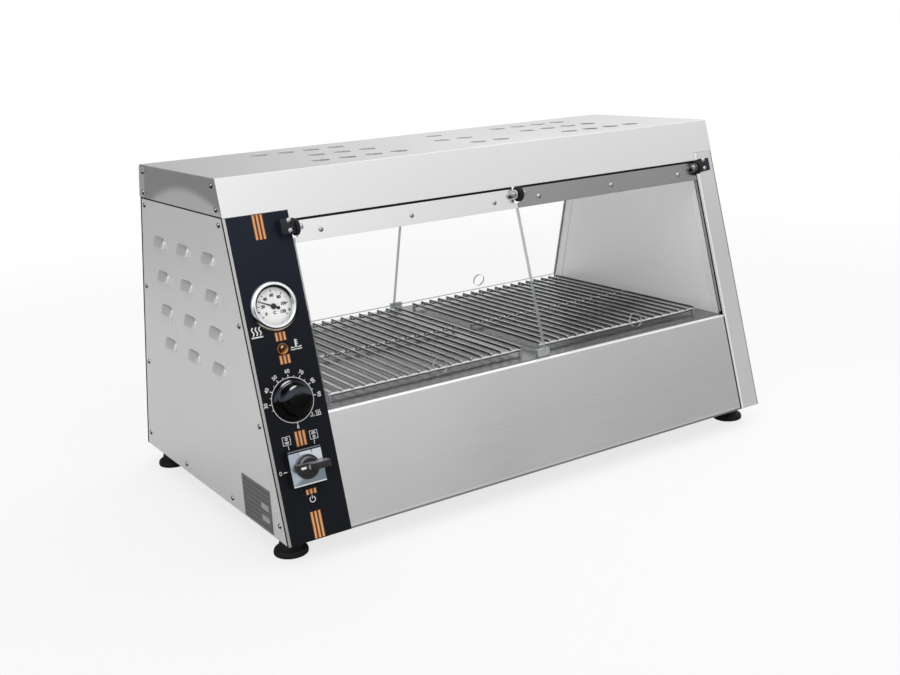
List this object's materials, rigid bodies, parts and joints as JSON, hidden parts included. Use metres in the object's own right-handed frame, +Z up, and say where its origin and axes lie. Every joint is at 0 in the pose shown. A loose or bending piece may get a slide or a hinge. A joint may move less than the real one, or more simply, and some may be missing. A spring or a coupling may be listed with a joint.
{
  "type": "hot holding display cabinet",
  "caption": "Counter-top heated display cabinet with leaning glass flap doors front and back, wire grates on a heated deck, vented hood and a control column.",
  "frame": {"origin": "on the resting plane under the feet, midway between the cabinet's sides and faces", "axes": "+X to the right seen from the control column's face, +Y to the back, +Z up"},
  "size_m": [0.8606, 0.533, 0.486],
  "materials": {
    "steel_panel": "brushed stainless sheet",
    "steel_inner": "bright stainless sheet",
    "overlay": "printed satin film",
    "door_glass": "clear toughened glass",
    "lens_glass": "clear lens",
    "chrome": "polished chrome",
    "grate_wire": "plated wire",
    "screw_steel": "zinc plated",
    "black_gloss": "glossy black",
    "black_matte": "satin black",
    "grey_matte": "grey moulding",
    "dial_white": "white dial",
    "needle_black": "black needle",
    "amber": "amber lens",
    "rubber": "black rubber",
    "silver_plate": "satin plate",
    "element": "heat-tinted sheath",
    "brass": "copper-coloured capillary",
    "ceramic": "ceramic terminal",
    "clear_stop": "clear soft stop"
  },
  "bodies": {
    "cabinet": {"base_pan": "steel_panel", "control_panel": "steel_panel", "front_right_post": "steel_panel", "rear_left_post": "steel_panel", "rear_right_post": "steel_panel", "front_lower_panel": "steel_panel", "rear_lower_panel": "steel_panel", "left_side_panel": "steel_panel", "right_side_panel": "steel_panel", "left_inner_wall": "steel_inner", "right_inner_wall": "steel_inner", "deck_plate": "steel_inner", "ceiling_panel": "steel_inner", "hood_shell": "steel_panel", "hood_left_cap": "steel_panel", "hood_right_cap": "steel_panel", "control_overlay": "overlay", "rating_plate": "silver_plate", "panel_screws": "screw_steel", "feet": "rubber", "foot_studs": "screw_steel", "side_hinge_blocks": "black_matte", "middle_hinge_blocks": "black_matte", "hinge_pins": "chrome", "hinge_block_screws": "screw_steel", "door_stops": "clear_stop", "thermometer_case": "chrome", "thermometer_bezel": "chrome", "thermometer_dial": "dial_white", "thermometer_lens": "lens_glass", "pilot_lamp_body": "black_matte", "pilot_lamp_lens": "amber", "thermostat_body": "grey_matte", "switch_body": "grey_matte", "switch_base": "black_matte", "switch_plate": "silver_plate", "bottom_heater": "element", "top_heater": "element", "heater_clips": "steel_inner", "sensor_bulbs": "brass", "terminal_block": "ceramic", "cable_gland": "black_matte"},
    "front_left_door": {"front_left_glass": "door_glass", "front_left_hinge_strip": "steel_panel", "front_left_strip_screws": "screw_steel"},
    "front_right_door": {"front_right_glass": "door_glass", "front_right_hinge_strip": "steel_panel", "front_right_strip_screws": "screw_steel"},
    "rear_left_door": {"rear_left_glass": "door_glass", "rear_left_hinge_strip": "steel_panel", "rear_left_strip_screws": "screw_steel"},
    "rear_right_door": {"rear_right_glass": "door_glass", "rear_right_hinge_strip": "steel_panel", "rear_right_strip_screws": "screw_steel"},
    "thermostat_knob": {"thermostat_knob": "black_gloss"},
    "switch_handle": {"switch_handle": "black_matte"},
    "thermometer_needle": {"thermometer_needle": "needle_black"},
    "left_grate": {"left_grate": "grate_wire"},
    "right_grate": {"right_grate": "grate_wire"}
  },
  "joints": [
    {"name": "front_left_door_hinge", "type": "hinge", "parent": "cabinet", "child": "front_left_door", "pos_m": [-0.15425, -0.16352, 0.41519], "axis": [-1, 0, 0], "range_deg": [0, 180]},
    {"name": "front_right_door_hinge", "type": "hinge", "parent": "cabinet", "child": "front_right_door", "pos_m": [0.20425, -0.16352, 0.41519], "axis": [-1, 0, 0], "range_deg": [0, 180]},
    {"name": "rear_left_door_hinge", "type": "hinge", "parent": "cabinet", "child": "rear_left_door", "pos_m": [-0.15425, 0.16352, 0.41519], "axis": [1, 0, 0], "range_deg": [0, 180]},
    {"name": "rear_right_door_hinge", "type": "hinge", "parent": "cabinet", "child": "rear_right_door", "pos_m": [0.20425, 0.16352, 0.41519], "axis": [1, 0, 0], "range_deg": [0, 180]},
    {"name": "thermostat_turn", "type": "hinge", "parent": "cabinet", "child": "thermostat_knob", "pos_m": [-0.3802, -0.21277, 0.20628], "axis": [0, 0.9659, -0.2588], "range_deg": [0, 270]},
    {"name": "switch_turn", "type": "hinge", "parent": "cabinet", "child": "switch_handle", "pos_m": [-0.383, -0.23541, 0.12176], "axis": [0, 0.9659, -0.2588], "range_deg": [0, 120]},
    {"name": "needle_turn", "type": "hinge", "parent": "cabinet", "child": "thermometer_needle", "pos_m": [-0.3802, -0.18171, 0.32219], "axis": [0, 0.9659, -0.2588], "range_deg": [-60.9, 191.1]},
    {"name": "left_grate_lift", "type": "slide", "parent": "cabinet", "child": "left_grate", "axis": [0, 0, 1], "range_m": [0, 0.06]},
    {"name": "right_grate_lift", "type": "slide", "parent": "cabinet", "child": "right_grate", "axis": [0, 0, 1], "range_m": [0, 0.06]}
  ]
}
